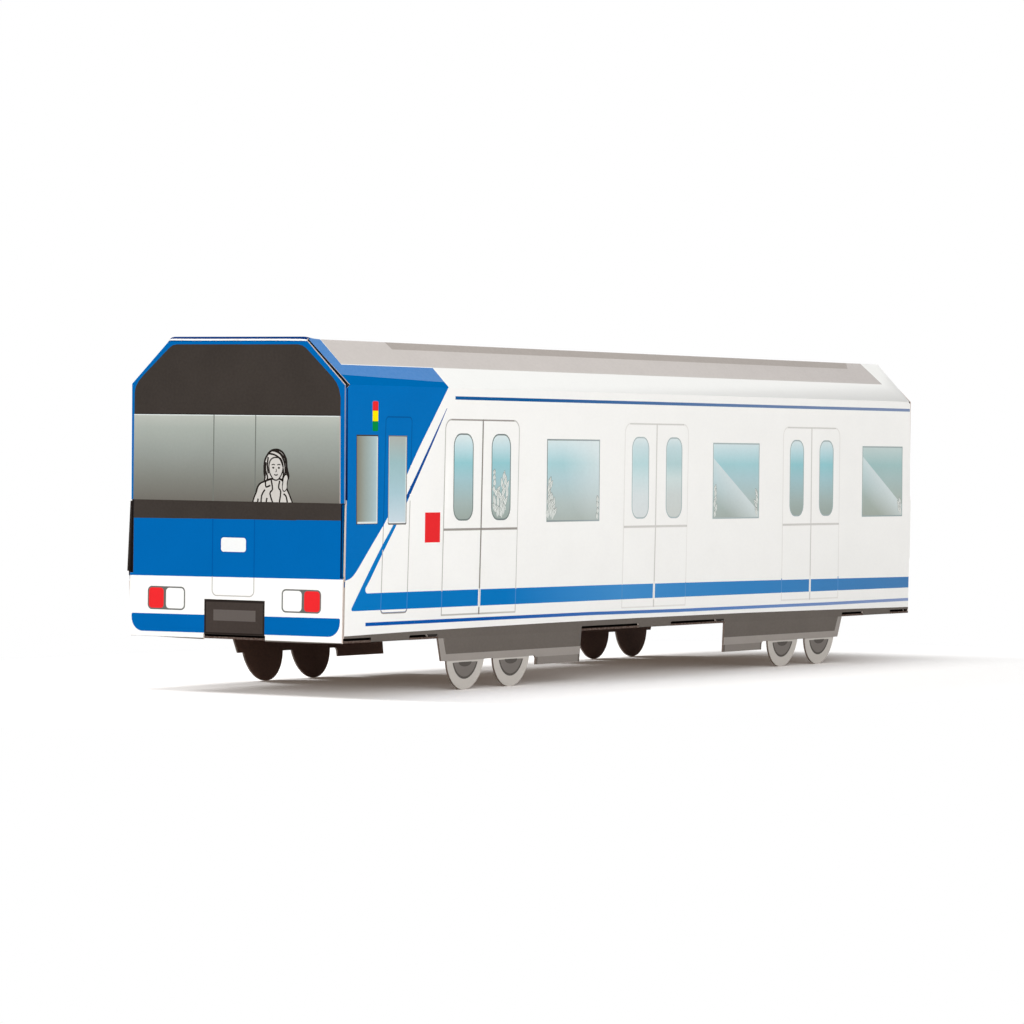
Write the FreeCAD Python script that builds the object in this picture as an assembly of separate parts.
import FreeCAD, Part
import math
import os

from FreeCAD import Vector

# A metro car folded from printed solid board, the kind of carton that doubles as a toy.
# One sheet makes the sleeve: floor, two walls, two bevels and the roof, creased lengthwise.
# The wheels and the boxes beside them are flat outlines cut out of the floor, which stay
# in the plane of the walls when the sleeve is folded, so the floor keeps their openings.
# Each end closes with a lid that hangs from the roof's end crease. Its two side tabs tuck
# in along the walls and its tongue tucks in over the floor. Dust flaps stand behind it.
# Millimetres. +Z is up, the cab end looks along -Y, and the origin is under the middle
# of the car, on the surface that the wheels stand on.

# Board
card_t = 0.5              # thickness of the board
crease_r = 0.35           # outside radius that the board takes at a crease

# Sleeve section
body_w = 60.0             # across the walls, outside
body_len = 285.0          # from end crease to end crease
sill_z = 12.5             # underside of the floor above the rail
wall_h = 59.1             # from the floor crease to the crease under the bevel
bevel_rise = 10.4         # height of the sloping panel between wall and roof
roof_w = 38.8             # flat width of the roof between its creases

# Corner where wall, bevel and end meet
relief = 1.4              # how far the corner is cut back at the wall's upper crease

# Slits that free the wall from the floor, and the bridges left between them
slit_h = 1.1              # wall's cut edge above the underside of the floor
slit_round_r = 0.5        # radius at the blind end of a slit
bridge_len = 16.3         # length of each of the three bridges of uncut crease
bridge_at = 19.3          # middle of an end bridge from the end crease

# Bogie outlines, measured from the end crease and down from the floor crease
bogie_start = 40.0        # outer end of the frame bar at the floor crease
bogie_len = 66.0          # whole outline along the car
bar_drop = 5.45           # depth of the frame bar
bar_slant = 1.8           # how far the bar's outer edge leans in
wheel_r = 8.45            # radius of a wheel outline
wheel_1_at = 52.45        # first wheel's centre from the end crease
wheelbase = 20.8          # from the first wheel's centre to the second's
box_drop = 7.65           # depth of the equipment box under the crease
box_len = 21.1            # length of the equipment box along the car
box_slant = 0.4           # how far the box's far edge leans in
gap_round_r = 0.9         # radius at the top of the gap beside the box

# End lids
lid_gap = 0.3             # clear space between a lid and the sleeve's end
lid_inset = 0.1           # lid's edge inside the sleeve's outer face
lid_foot = 0.1            # lid's lower edge above the underside of the floor
hinge_play = 0.08         # clear space between the hinge bead and the lid's upper edge
tab_z = 27.4              # lower edge of a side tab
tab_h = 16.9              # height of a side tab
tab_depth = 7.0           # how far a side tab reaches into the sleeve
tab_play = 0.2            # between a tab and the wall's inner face
tab_corner = 2.0          # cut corners at a tab's tip
stub_out = 0.25           # how far the wall runs past its end crease beside a tab
stub_play = 0.2           # how much shorter than the tab that stub is at each end
tongue_w = 17.2           # width of the tongue
tongue_depth = 6.5        # how far the tongue reaches into the sleeve
tongue_lift = 0.5         # between the tongue and the floor
tongue_corner = 2.0       # cut corners at the tongue's tip

# Dust flaps
side_flap_w = 17.0        # depth of a wall's dust flap across the end
side_flap_taper = 4.0     # how much its free edge is shorter at each end
floor_flap_h = 11.5       # height of the floor's dust flap
floor_flap_taper = 4.0    # how much its free edge is shorter at each end
flap_gap = 0.8            # between neighbouring flaps and between a flap and the next crease
flap_notch_play = 0.9     # notch beyond a tab or the tongue that passes through it

# Values that follow
floor_top_z = sill_z + card_t
wall_top_z = sill_z + wall_h
roof_z = wall_top_z + bevel_rise
half_w = body_w / 2
half_len = body_len / 2
half_roof = roof_w / 2
lid_in_y = half_len + lid_gap
lid_out_y = lid_in_y + card_t
hinge_y = lid_in_y + card_t / 2
hinge_z = roof_z - card_t / 2
lid_top_z = hinge_z - card_t / 2 - hinge_play
over = 1.0                # how far a cutting body runs past what it cuts
near = 0.01               # what counts as the same place

os.makedirs("parts", exist_ok=True)


def prism(points, start, along):
    """A flat outline, given as points on the plane at start, pushed along a vector."""
    wire = Part.makePolygon([p + start for p in points] + [points[0] + start])
    return Part.Face(wire).extrude(along)


def box(x0, x1, y0, y1, z0, z1):
    """A block between two corners given in any order."""
    low = Vector(min(x0, x1), min(y0, y1), min(z0, z1))
    return Part.makeBox(abs(x1 - x0), abs(y1 - y0), abs(z1 - z0), low)


def mirrored(shape, across):
    """The same piece on the other side: across is the X or the Y direction."""
    return shape.mirror(Vector(0, 0, 0), across)


def save(name, shape):
    """Write one piece, cleaned of seams that the cuts left, as its own file."""
    clean = shape.removeSplitter()
    solid = clean.Solids[0] if len(clean.Solids) == 1 else clean
    solid.exportStep("parts/" + name + ".step")


# Sleeve section: the outer outline and the same outline one board inside it
def inner_point(before, corner, after):
    """The corner of the inner face, where the two neighbouring panels' faces meet."""
    d1 = (corner - before).normalize()
    d2 = (after - corner).normalize()
    n1 = Vector(-d1.z, 0, d1.x)
    n2 = Vector(-d2.z, 0, d2.x)
    half = (n1 + n2).normalize()
    return corner + half * (card_t / half.dot(n1))


outer = [
    Vector(half_w, 0, sill_z),
    Vector(half_w, 0, wall_top_z),
    Vector(half_roof, 0, roof_z),
    Vector(-half_roof, 0, roof_z),
    Vector(-half_w, 0, wall_top_z),
    Vector(-half_w, 0, sill_z),
]
count = len(outer)
inner = [inner_point(outer[i - 1], outer[i], outer[(i + 1) % count]) for i in range(count)]


def rounded_outline(points, radius):
    """The section's outer outline with an arc at each crease."""
    edges = []
    joints = []
    for i in range(len(points)):
        before = points[i - 1]
        corner = points[i]
        after = points[(i + 1) % len(points)]
        d_in = (before - corner).normalize()
        d_out = (after - corner).normalize()
        half_angle = d_in.getAngle(d_out) / 2
        back = radius / math.tan(half_angle)
        middle = (d_in + d_out).normalize()
        centre = corner + middle * (radius / math.sin(half_angle))
        joints.append((corner + d_in * back, centre - middle * radius, corner + d_out * back))
    for i in range(len(joints)):
        first, through, last = joints[i]
        edges.append(Part.Arc(first, through, last).toShape())
        edges.append(Part.LineSegment(last, joints[(i + 1) % len(joints)][0]).toShape())
    return Part.Wire(edges)


start = Vector(0, -half_len, 0)
along = Vector(0, body_len, 0)
skin = Part.Face(rounded_outline(outer, crease_r)).extrude(along).translate(start)


def sleeve_panel(i):
    """The panel between crease i and the next one, mitred at both creases."""
    j = (i + 1) % count
    body = prism([outer[i], outer[j], inner[j], inner[i]], start, along)
    return body.common(skin)


left_bevel = sleeve_panel(1)
roof = sleeve_panel(2)

# Relief: the end edges of wall and bevel slope back to the crease between them
flap_top_z = wall_top_z - flap_gap
relief_cut = prism(
    [
        Vector(0, -half_len - over, flap_top_z),
        Vector(0, -half_len, flap_top_z),
        Vector(0, -half_len + relief, wall_top_z),
        Vector(0, -half_len, roof_z),
        Vector(0, -half_len - over, roof_z),
    ],
    Vector(0, 0, 0),
    Vector(half_w + over, 0, 0),
)
relief_cuts = (relief_cut, mirrored(relief_cut, Vector(0, 1, 0)))
left_bevel = left_bevel.cut(relief_cuts[0]).cut(relief_cuts[1])

# Slits and bridges along the floor crease. Each run is (start, end) from the middle.
half_bridge = bridge_len / 2
bridge_out = half_len - bridge_at
bogie_out = half_len - bogie_start
bogie_in = bogie_out - bogie_len
bridges = [(c - half_bridge, c + half_bridge) for c in (-bridge_out, 0.0, bridge_out)]
bogies = [(-bogie_out, -bogie_in), (bogie_in, bogie_out)]
uncut = sorted(bridges + bogies)
slits = []
at = -half_len
for run in uncut:
    slits.append((at, run[0]))
    at = run[1]
slits.append((at, half_len))

floor_mitre = prism([outer[5], outer[0], inner[0], inner[5]], start, along).common(skin)
corner = box(half_w - card_t, half_w, -half_len, half_len, sill_z, floor_top_z)

# Left wall: square at the bogies, mitred at the bridges, cut short at the slits
wall = prism(
    [outer[0], outer[1], inner[1], Vector(half_w - card_t, 0, sill_z)], start, along
)
crease_rounding = prism([outer[0], outer[1], outer[2], Vector(0, 0, wall_top_z),
                         Vector(0, 0, sill_z)], start, along).cut(skin)
for y0, y1 in bridges:
    reach = box(0, half_w + over, y0, y1, sill_z, floor_top_z)
    wall = wall.cut(floor_mitre.common(reach)).cut(crease_rounding.common(reach))
for y0, y1 in slits:
    cut = box(0, half_w + over, y0, y1, sill_z - over, sill_z + slit_h)
    blind = [
        edge for edge in cut.Edges
        if abs(edge.CenterOfMass.z - sill_z - slit_h) < near
        and abs(abs(edge.CenterOfMass.y - (y0 + y1) / 2) - (y1 - y0) / 2) < near
        and abs(edge.CenterOfMass.y) < half_len - near
    ]
    wall = wall.cut(cut.makeFillet(slit_round_r, blind))
upper = box(0, half_w + over, -half_len, half_len, sill_z + wall_h / 2, roof_z)
wall = wall.cut(crease_rounding.common(upper)).cut(relief_cuts[0]).cut(relief_cuts[1])


# Bogie outline, as a prism one board thick. place turns (along, down) into a point.
def bogie_solid(place, thick):
    """Frame bar, two wheels and equipment box as one flat outline."""
    end = bogie_start + bogie_len
    bar_outline = [
        place(bogie_start, 0),
        place(bogie_start + bar_slant, bar_drop),
        place(end - box_slant * bar_drop / box_drop, bar_drop),
        place(end, 0),
    ]
    bar = prism(bar_outline, Vector(0, 0, 0), thick)
    box_outline = [
        place(end - box_len, 0),
        place(end - box_len, box_drop),
        place(end - box_slant, box_drop),
        place(end, 0),
    ]
    shape = bar.fuse(prism(box_outline, Vector(0, 0, 0), thick))
    below = [place(bogie_start, 0), place(bogie_start, sill_z + over),
             place(end, sill_z + over), place(end, 0)]
    clip = prism(below, Vector(0, 0, 0), thick)
    for centre in (wheel_1_at, wheel_1_at + wheelbase):
        at_point = place(centre, sill_z - wheel_r)
        ring = Part.makeCircle(wheel_r, at_point, thick)
        disc = Part.Face(Part.Wire([ring])).extrude(thick)
        shape = shape.fuse(disc.common(clip))
    shape = shape.removeSplitter()
    # the gap between the second wheel and the box has a round top
    tops = []
    for edge in shape.Edges:
        mid = edge.CenterOfMass
        on_box = place(end - box_len, bar_drop)
        flat = mid - on_box
        flat = flat - thick * (flat.dot(thick) / thick.dot(thick))
        if flat.Length < near and edge.Length < thick.Length + near:
            tops.append(edge)
    return shape.makeFillet(gap_round_r, tops) if tops else shape


def on_wall(s, down):
    """A point of the outline on the left wall's inner face, cab end."""
    return Vector(half_w - card_t, -half_len + s, sill_z - down)


def on_floor(s, down):
    """The same point where the outline was cut out of the floor."""
    return Vector(half_w - down, -half_len + s, sill_z)


front_bogie = bogie_solid(on_wall, Vector(card_t, 0, 0))
floor_opening = bogie_solid(on_floor, Vector(0, 0, card_t))

# Floor: square cut edges at the slits, mitred at the bridges, open where the bogies were
floor = box(-half_w, half_w, -half_len, half_len, sill_z, floor_top_z)
x_dir = Vector(1, 0, 0)
y_dir = Vector(0, 1, 0)
for y0, y1 in bridges:
    reach = box(0, half_w + over, y0, y1, sill_z - over, floor_top_z + over)
    waste = corner.common(reach).cut(floor_mitre)
    floor = floor.cut(waste).cut(mirrored(waste, x_dir))
for shape in (floor_opening, mirrored(floor_opening, y_dir), wall):
    floor = floor.cut(shape).cut(mirrored(shape, x_dir))

# Dust flap of the left wall, cab end, folded in from the wall's end crease
flap_y0 = -half_len
flap_y1 = -half_len + card_t
side_flap_z0 = floor_top_z + floor_flap_h + flap_gap
side_flap_z1 = flap_top_z
side_flap_x = half_w - side_flap_w


def crease_sliver(corner_point, into_a, into_b, run):
    """What a crease's rounding takes off a square corner. The three vectors are square."""
    a = into_a * crease_r
    b = into_b * crease_r
    block = prism([Vector(0, 0, 0), a, a + b, b], corner_point, run)
    rod = Part.makeCylinder(crease_r, run.Length, corner_point + a + b, run)
    return block.cut(rod)


side_flap = prism(
    [
        Vector(half_w, flap_y0, 0),
        Vector(half_w - card_t, flap_y1, 0),
        Vector(side_flap_x, flap_y1, 0),
        Vector(side_flap_x, flap_y0, 0),
    ],
    Vector(0, 0, side_flap_z0),
    Vector(0, 0, side_flap_z1 - side_flap_z0),
)
for z_end, lean in ((side_flap_z0, side_flap_taper), (side_flap_z1, -side_flap_taper)):
    taper = prism(
        [
            Vector(half_w - card_t, 0, z_end),
            Vector(side_flap_x - over, 0, z_end),
            Vector(side_flap_x - over, 0, z_end + lean),
        ],
        Vector(0, flap_y0 - over, 0),
        Vector(0, card_t + 2 * over, 0),
    )
    side_flap = side_flap.cut(taper)
tab_out_x = half_w - card_t - tab_play
tab_in_x = tab_out_x - card_t
side_notch = box(
    tab_in_x - flap_notch_play, half_w + over, flap_y0 - over, flap_y1 + over,
    tab_z - flap_notch_play, tab_z + tab_h + flap_notch_play,
)
side_flap = side_flap.cut(side_notch)
side_sliver = crease_sliver(
    Vector(half_w, flap_y0, side_flap_z0), Vector(-1, 0, 0), Vector(0, 1, 0),
    Vector(0, 0, side_flap_z1 - side_flap_z0),
).cut(side_notch)
stub = box(
    half_w - card_t, half_w, flap_y0 - stub_out, flap_y0, tab_z + stub_play,
    tab_z + tab_h - stub_play,
)
for end in (1, -1):
    here = side_flap if end == 1 else mirrored(side_flap, y_dir)
    sliver = side_sliver if end == 1 else mirrored(side_sliver, y_dir)
    wall = wall.cut(here).cut(sliver).fuse(stub if end == 1 else mirrored(stub, y_dir))
side_flap = side_flap.cut(side_sliver)

# Dust flap of the floor, cab end, folded up from the floor's end crease
floor_flap_half = half_w - card_t - flap_gap
notch_half = tongue_w / 2 + flap_notch_play
tongue_z0 = floor_top_z + tongue_lift
tongue_z1 = tongue_z0 + card_t
floor_flap = prism(
    [
        Vector(0, flap_y0, sill_z),
        Vector(0, flap_y1, floor_top_z),
        Vector(0, flap_y1, floor_top_z + floor_flap_h),
        Vector(0, flap_y0, floor_top_z + floor_flap_h),
    ],
    Vector(-floor_flap_half, 0, 0),
    Vector(2 * floor_flap_half, 0, 0),
)
for side in (1, -1):
    taper = prism(
        [
            Vector(side * floor_flap_half, 0, floor_top_z),
            Vector(side * floor_flap_half, 0, floor_top_z + floor_flap_h + over),
            Vector(side * (floor_flap_half - floor_flap_taper), 0,
                   floor_top_z + floor_flap_h + over),
        ],
        Vector(0, flap_y0 - over, 0),
        Vector(0, card_t + 2 * over, 0),
    )
    floor_flap = floor_flap.cut(taper)
floor_notch = box(
    -notch_half, notch_half, flap_y0 - over, flap_y1 + over, sill_z - over,
    tongue_z1 + flap_notch_play,
)
floor_flap = floor_flap.cut(floor_notch)
floor_sliver = crease_sliver(
    Vector(-floor_flap_half, flap_y0, sill_z), Vector(0, 1, 0), Vector(0, 0, 1),
    Vector(2 * floor_flap_half, 0, 0),
).cut(floor_notch)
for end in (1, -1):
    here = floor_flap if end == 1 else mirrored(floor_flap, y_dir)
    sliver = floor_sliver if end == 1 else mirrored(floor_sliver, y_dir)
    floor = floor.cut(here).cut(sliver)
floor_flap = floor_flap.cut(floor_sliver)

# Roof: its ends run out to the lids' hinge lines and end in the rounded fold
for side in (1, -1):
    run_out = box(
        -half_roof + card_t, half_roof - card_t, side * half_len, side * hinge_y,
        roof_z - card_t, roof_z,
    )
    bead = Part.makeCylinder(
        card_t / 2, roof_w - 2 * card_t, Vector(-half_roof + card_t, side * hinge_y, hinge_z),
        Vector(1, 0, 0),
    )
    roof = roof.fuse(run_out).fuse(bead)

# Cab-end lid: the section's outline, hung under the hinge bead
lid_half = half_w - lid_inset
slope = (half_w - half_roof) / bevel_rise
lid_shoulder_z = wall_top_z - lid_inset
lid_top_half = lid_half - (lid_top_z - lid_shoulder_z) * slope
lid_foot_z = sill_z + lid_foot
lid_y = -lid_in_y
lid = prism(
    [
        Vector(lid_half, 0, lid_foot_z),
        Vector(lid_half, 0, lid_shoulder_z),
        Vector(lid_top_half, 0, lid_top_z),
        Vector(-lid_top_half, 0, lid_top_z),
        Vector(-lid_half, 0, lid_shoulder_z),
        Vector(-lid_half, 0, lid_foot_z),
    ],
    Vector(0, -lid_out_y, 0),
    Vector(0, card_t, 0),
)

# Side tab of the lid, folded back just inside the wall, with cut corners at its tip
side_tab = prism(
    [
        Vector(tab_out_x, -lid_out_y, 0),
        Vector(tab_out_x, lid_y + tab_depth, 0),
        Vector(tab_in_x, lid_y + tab_depth, 0),
        Vector(tab_in_x, lid_y, 0),
    ],
    Vector(0, 0, tab_z),
    Vector(0, 0, tab_h),
)
tip_y = lid_y + tab_depth
for z_end, lean in ((tab_z, tab_corner), (tab_z + tab_h, -tab_corner)):
    cut_tip = prism(
        [
            Vector(0, tip_y - tab_corner, z_end),
            Vector(0, tip_y + over, z_end),
            Vector(0, tip_y + over, z_end + lean + math.copysign(over, lean)),
            Vector(0, tip_y, z_end + lean),
        ],
        Vector(tab_in_x - over, 0, 0),
        Vector(card_t + 2 * over, 0, 0),
    )
    side_tab = side_tab.cut(cut_tip)
tab_sliver = crease_sliver(
    Vector(tab_out_x, -lid_out_y, tab_z), Vector(-1, 0, 0), Vector(0, 1, 0),
    Vector(0, 0, tab_h),
)
side_tab = side_tab.cut(tab_sliver)
for sign in (1, -1):
    gone = box(
        sign * tab_out_x, sign * (half_w + over), -lid_out_y - over, lid_y + over, tab_z,
        tab_z + tab_h,
    )
    tab_here = side_tab if sign == 1 else mirrored(side_tab, x_dir)
    sliver = tab_sliver if sign == 1 else mirrored(tab_sliver, x_dir)
    lid = lid.cut(gone).cut(tab_here).cut(sliver)

# Tongue of the lid, folded back just over the floor, with cut corners at its tip
tongue = prism(
    [
        Vector(0, -lid_out_y, tongue_z0),
        Vector(0, lid_y + tongue_depth, tongue_z0),
        Vector(0, lid_y + tongue_depth, tongue_z1),
        Vector(0, lid_y, tongue_z1),
    ],
    Vector(-tongue_w / 2, 0, 0),
    Vector(tongue_w, 0, 0),
)
tongue_tip = lid_y + tongue_depth
for sign in (1, -1):
    edge_x = sign * tongue_w / 2
    cut_tip = prism(
        [
            Vector(edge_x, tongue_tip - tongue_corner, 0),
            Vector(edge_x, tongue_tip + over, 0),
            Vector(edge_x - sign * (tongue_corner + over), tongue_tip + over, 0),
        ],
        Vector(0, 0, tongue_z0 - over),
        Vector(0, 0, card_t + 2 * over),
    )
    tongue = tongue.cut(cut_tip)
tongue_sliver = crease_sliver(
    Vector(-tongue_w / 2, -lid_out_y, tongue_z0), Vector(0, 1, 0), Vector(0, 0, 1),
    Vector(tongue_w, 0, 0),
)
tongue = tongue.cut(tongue_sliver)
gone = box(
    -tongue_w / 2, tongue_w / 2, -lid_out_y - over, lid_y + over, sill_z - over, tongue_z0
)
lid = lid.cut(gone).cut(tongue).cut(tongue_sliver)

# Every piece under its own name. The other side and the other end are mirror images.
save("roof_panel", roof)
save("floor_panel", floor)
sides = (("left", 1), ("right", -1))
ends = (("front", 1), ("rear", -1))
for side_name, sign in sides:
    for name, shape in (("wall_panel", wall), ("bevel_panel", left_bevel)):
        save(side_name + "_" + name, shape if sign == 1 else mirrored(shape, x_dir))
for end_name, end in ends:
    for name, shape in (("lid", lid), ("lid_tongue", tongue), ("floor_dust_flap", floor_flap)):
        save(end_name + "_" + name, shape if end == 1 else mirrored(shape, y_dir))
    for side_name, sign in sides:
        for name, shape in (
            ("bogie_flap", front_bogie),
            ("lid_tab", side_tab),
            ("dust_flap", side_flap),
        ):
            placed = shape if end == 1 else mirrored(shape, y_dir)
            placed = placed if sign == 1 else mirrored(placed, x_dir)
            save(side_name + "_" + end_name + "_" + name, placed)
